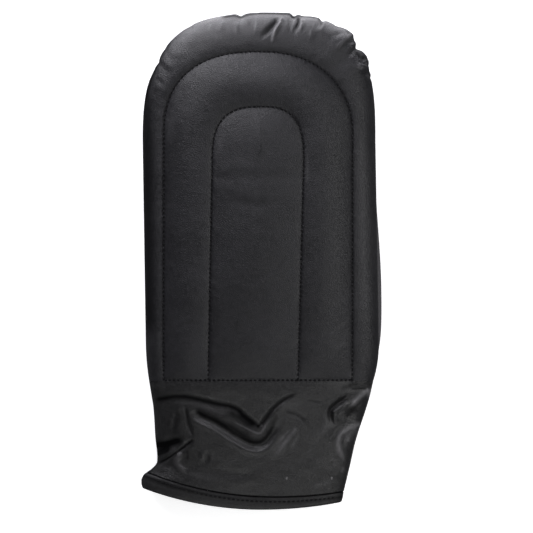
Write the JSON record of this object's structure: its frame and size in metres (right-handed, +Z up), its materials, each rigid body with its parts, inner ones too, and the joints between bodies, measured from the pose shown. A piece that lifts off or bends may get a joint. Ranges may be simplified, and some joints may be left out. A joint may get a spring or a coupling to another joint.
{
  "type": "bag glove",
  "caption": "Slip-on padded bag mitt for the left hand, with a quilted back, a thin palm with a thumb hole, and a creased cuff with a turned hem.",
  "frame": {"origin": "middle of the overall box, on the surface that the palm lies on", "axes": "+Y from the wrist to the fingertips, +X to the thumb side, +Z up through the padded back"},
  "size_m": [0.1305, 0.268, 0.0471],
  "materials": {
    "back_leather": "black grained leather over foam, soft sheen",
    "palm_leather": "black grained leather, soft sheen",
    "cuff_leather": "thin black leather, glossier on its creases",
    "hem_leather": "folded black leather, soft sheen"
  },
  "bodies": {
    "root": {"back_pad": "back_leather", "palm_panel": "palm_leather", "cuff": "cuff_leather", "hem_band": "hem_leather"}
  },
  "joints": []
}
